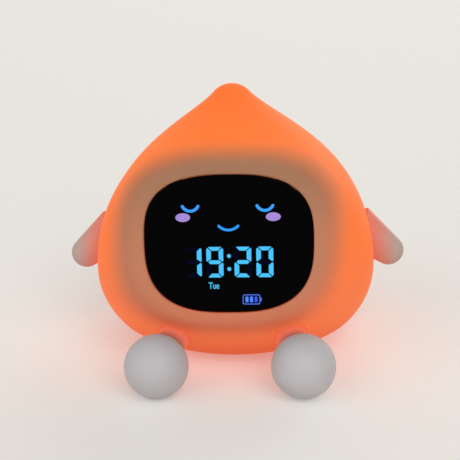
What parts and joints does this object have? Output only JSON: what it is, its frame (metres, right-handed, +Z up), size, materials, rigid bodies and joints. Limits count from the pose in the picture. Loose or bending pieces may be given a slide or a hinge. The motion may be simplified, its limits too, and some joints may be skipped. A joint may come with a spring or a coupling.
{
  "type": "bedside alarm clock with night light",
  "caption": "Drop-shaped silicone night light and alarm clock on two ball feet, with a glossy black display window, stub arms and a rear panel of buttons.",
  "frame": {"origin": "underside of the base pad, below the body axis, on the table", "axes": "+Z up, the display faces -Y, +X is the reader's right"},
  "size_m": [0.1358, 0.1172, 0.1064],
  "materials": {
    "skin": "translucent orange silicone, soft matte",
    "arm_rubber": "milky white silicone, matte",
    "foot_rubber": "pale grey silicone, satin",
    "lens": "polished black acrylic",
    "gasket": "black foam tape",
    "housing": "black moulded plastic",
    "display_block": "white moulded block with dark wells",
    "board": "green solder mask",
    "frame_plastic": "white moulded plastic",
    "screw_steel": "zinc plated",
    "pad_rubber": "grey foam rubber",
    "cell_can": "plain blue sleeve",
    "emitter": "yellow phosphor",
    "diffuser": "milky diffuser",
    "panel_plastic": "fine matte texture",
    "socket_steel": "plated shell",
    "switch_black": "black moulded",
    "button_rubber": "soft satin silicone",
    "knob_plastic": "dark grey moulded",
    "speaker_metal": "black",
    "piezo_brass": "brass can",
    "lead_red": "red sleeve",
    "lead_black": "black sleeve",
    "lead_yellow": "yellow sleeve",
    "ribbon": "white flexible ribbon"
  },
  "bodies": {
    "clock": {"silicone_skin": "skin", "arm_left": "arm_rubber", "arm_right": "arm_rubber", "foot_left": "foot_rubber", "foot_right": "foot_rubber", "display_lens": "lens", "lens_gasket": "gasket", "display_housing": "housing", "display_module": "display_block", "display_pcb": "board", "display_screws": "screw_steel", "core_frame": "frame_plastic", "housing_screws": "screw_steel", "base_tray": "frame_plastic", "frame_screws": "screw_steel", "bottom_cover": "frame_plastic", "cover_screws": "screw_steel", "base_pad": "pad_rubber", "battery_cell": "cell_can", "battery_strap": "frame_plastic", "strap_screws": "screw_steel", "lamp_board": "frame_plastic", "lamp_emitters": "emitter", "lamp_screws": "screw_steel", "diffuser_dome": "diffuser", "main_pcb": "board", "pcb_screws": "screw_steel", "tact_switches": "switch_black", "slide_switch": "socket_steel", "usb_socket": "socket_steel", "tap_sensor": "piezo_brass", "leg_screws": "screw_steel", "rear_panel": "panel_plastic", "panel_screws": "screw_steel", "speaker": "speaker_metal", "battery_lead": "lead_red", "speaker_lead": "lead_black", "lamp_lead": "lead_yellow", "display_ribbon": "ribbon"},
    "button_set": {"button_set": "button_rubber"},
    "button_up": {"button_up": "button_rubber"},
    "button_down": {"button_down": "button_rubber"},
    "button_light": {"button_light": "button_rubber"},
    "power_knob": {"power_knob": "knob_plastic"}
  },
  "joints": [
    {"name": "set_press", "type": "slide", "parent": "clock", "child": "button_set", "axis": [0, -1, 0], "range_m": [0, 0.0006], "stiffness_N_per_m": 800},
    {"name": "up_press", "type": "slide", "parent": "clock", "child": "button_up", "axis": [0, -1, 0], "range_m": [0, 0.0006], "stiffness_N_per_m": 800},
    {"name": "down_press", "type": "slide", "parent": "clock", "child": "button_down", "axis": [0, -1, 0], "range_m": [0, 0.0006], "stiffness_N_per_m": 800},
    {"name": "light_press", "type": "slide", "parent": "clock", "child": "button_light", "axis": [0, -1, 0], "range_m": [0, 0.0006], "stiffness_N_per_m": 800},
    {"name": "power_slide", "type": "slide", "parent": "clock", "child": "power_knob", "axis": [0, 0, 1], "range_m": [0, 0.0025]}
  ]
}
